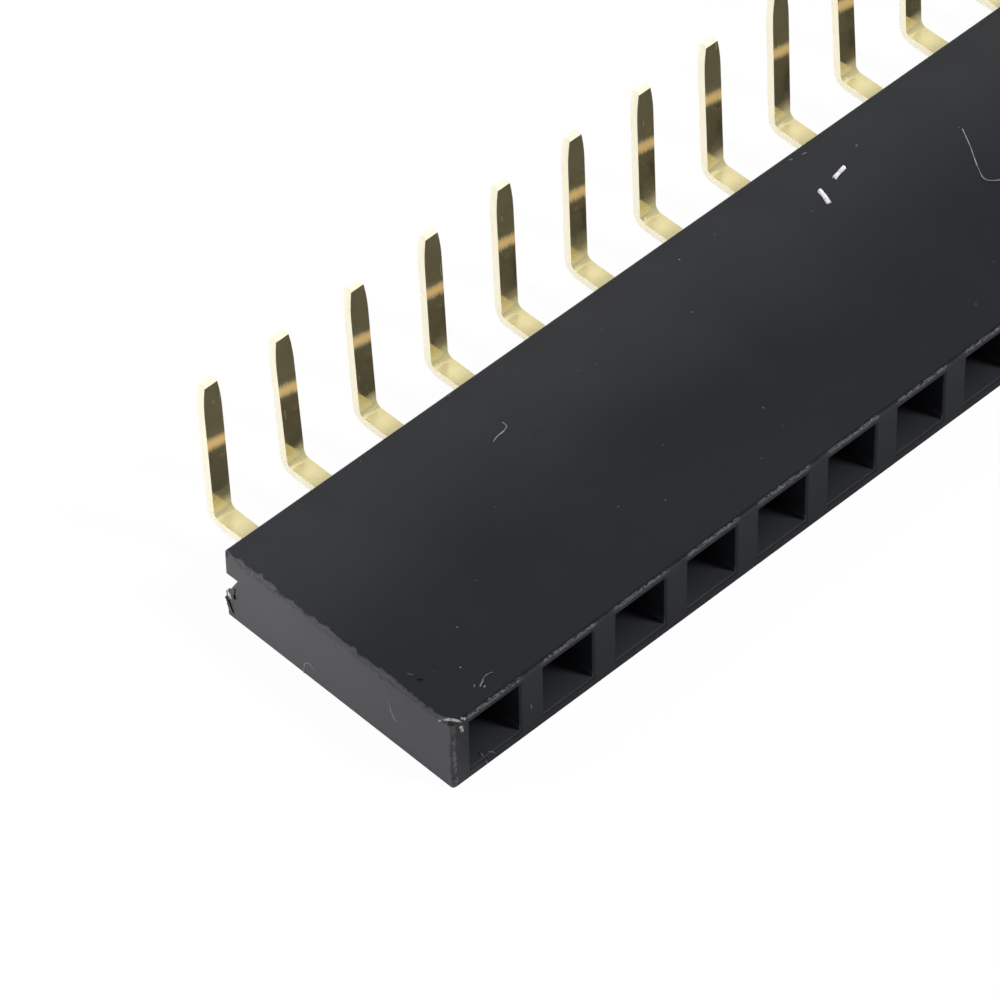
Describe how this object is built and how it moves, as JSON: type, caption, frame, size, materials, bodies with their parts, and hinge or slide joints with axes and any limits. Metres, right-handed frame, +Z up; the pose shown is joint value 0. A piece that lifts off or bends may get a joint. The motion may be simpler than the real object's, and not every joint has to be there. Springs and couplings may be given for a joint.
{
  "type": "female pin header strip",
  "caption": "Single-row female pin header strip: flat black moulded housing with square sockets and gold right-angle solder tails along the back.",
  "frame": {"origin": "middle of the housing's bottom face, on which the strip lies", "axes": "+X along the row, -Y out of the socket mouths, +Y out of the back where the tails leave, +Z up along the tails"},
  "size_m": [0.0512, 0.0105, 0.006],
  "materials": {
    "housing_plastic": "matte moulded black",
    "contact_gold": "gold-plated, bright"
  },
  "bodies": {
    "root": {"housing": "housing_plastic", "contact_01": "contact_gold", "contact_02": "contact_gold", "contact_03": "contact_gold", "contact_04": "contact_gold", "contact_05": "contact_gold", "contact_06": "contact_gold", "contact_07": "contact_gold", "contact_08": "contact_gold", "contact_09": "contact_gold", "contact_10": "contact_gold", "contact_11": "contact_gold", "contact_12": "contact_gold", "contact_13": "contact_gold", "contact_14": "contact_gold", "contact_15": "contact_gold", "contact_16": "contact_gold", "contact_17": "contact_gold", "contact_18": "contact_gold", "contact_19": "contact_gold", "contact_20": "contact_gold"}
  },
  "joints": []
}
